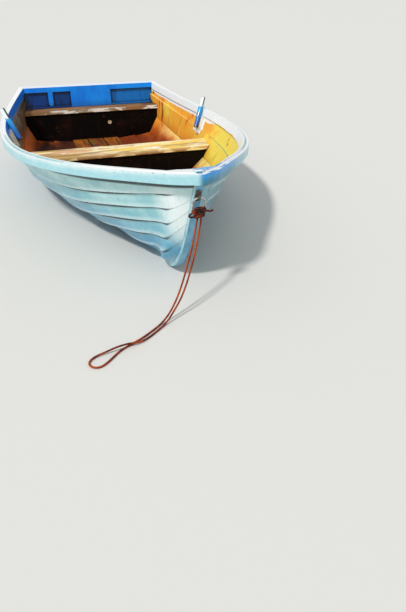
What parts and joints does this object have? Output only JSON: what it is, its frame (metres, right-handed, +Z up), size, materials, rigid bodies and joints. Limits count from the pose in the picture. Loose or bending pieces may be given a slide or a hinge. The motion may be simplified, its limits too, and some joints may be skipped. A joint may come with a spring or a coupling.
{
  "type": "clinker rowing boat",
  "caption": "Open clinker rowing boat with stem, keel, lapped strakes, raked transom, thwart, stern seat, bottom boards, oar posts and a rope painter.",
  "frame": {"origin": "centre of the hull's plan at the bottom of the keel, without the painter", "axes": "+Y aft from stem to transom, +X to port, +Z up"},
  "size_m": [1.4032, 2.8762, 0.6268],
  "materials": {
    "hull_paint": "worn pale blue gloss paint outside, worn ochre paint inside",
    "rail_paint": "worn white gloss paint",
    "keel_paint": "scraped pale blue paint",
    "transom_paint": "bright blue gloss paint",
    "seat_wood": "bare worn wood with rests of pale paint",
    "riser_paint": "dark brown stained wood",
    "floor_paint": "worn orange brown paint",
    "post_paint": "blue gloss paint, worn",
    "block_paint": "white paint, worn",
    "plug": "moulded, scuffed",
    "galvanized": "galvanized, with some rust",
    "rope": "laid fibre rope, dark red brown"
  },
  "bodies": {
    "root": {"bearer_1": "floor_paint", "bearer_2": "floor_paint", "bearer_3": "floor_paint", "bearer_4": "floor_paint", "bilge_runner_port": "keel_paint", "bilge_runner_starboard": "keel_paint", "bottom_board_aft_1": "floor_paint", "bottom_board_aft_2": "floor_paint", "bottom_board_aft_3": "floor_paint", "bottom_board_fore_1": "floor_paint", "bottom_board_fore_2": "floor_paint", "bottom_board_fore_3": "floor_paint", "breasthook": "rail_paint", "eye_plate": "galvanized", "inwale_port": "rail_paint", "inwale_starboard": "rail_paint", "keel": "keel_paint", "mooring_ring": "galvanized", "oar_block_port": "block_paint", "oar_block_starboard": "block_paint", "oar_post_port": "post_paint", "oar_post_starboard": "post_paint", "painter": "rope", "painter_knot": "rope", "rubbing_rail_port": "rail_paint", "rubbing_rail_starboard": "rail_paint", "stem": "keel_paint", "stern_seat": "seat_wood", "stern_seat_plug": "plug", "stern_seat_riser": "riser_paint", "strake_port_1": "hull_paint", "strake_port_2": "hull_paint", "strake_port_3": "hull_paint", "strake_port_4": "hull_paint", "strake_port_5": "hull_paint", "strake_port_6": "hull_paint", "strake_starboard_1": "hull_paint", "strake_starboard_2": "hull_paint", "strake_starboard_3": "hull_paint", "strake_starboard_4": "hull_paint", "strake_starboard_5": "hull_paint", "strake_starboard_6": "hull_paint", "thwart": "seat_wood", "thwart_back_riser": "riser_paint", "thwart_front_riser": "riser_paint", "transom_board": "transom_paint", "transom_bottom_rail_port": "transom_paint", "transom_bottom_rail_starboard": "transom_paint", "transom_centre_pad": "transom_paint", "transom_cleat": "transom_paint", "transom_top_rail_port": "transom_paint", "transom_top_rail_starboard": "transom_paint"}
  },
  "joints": []
}
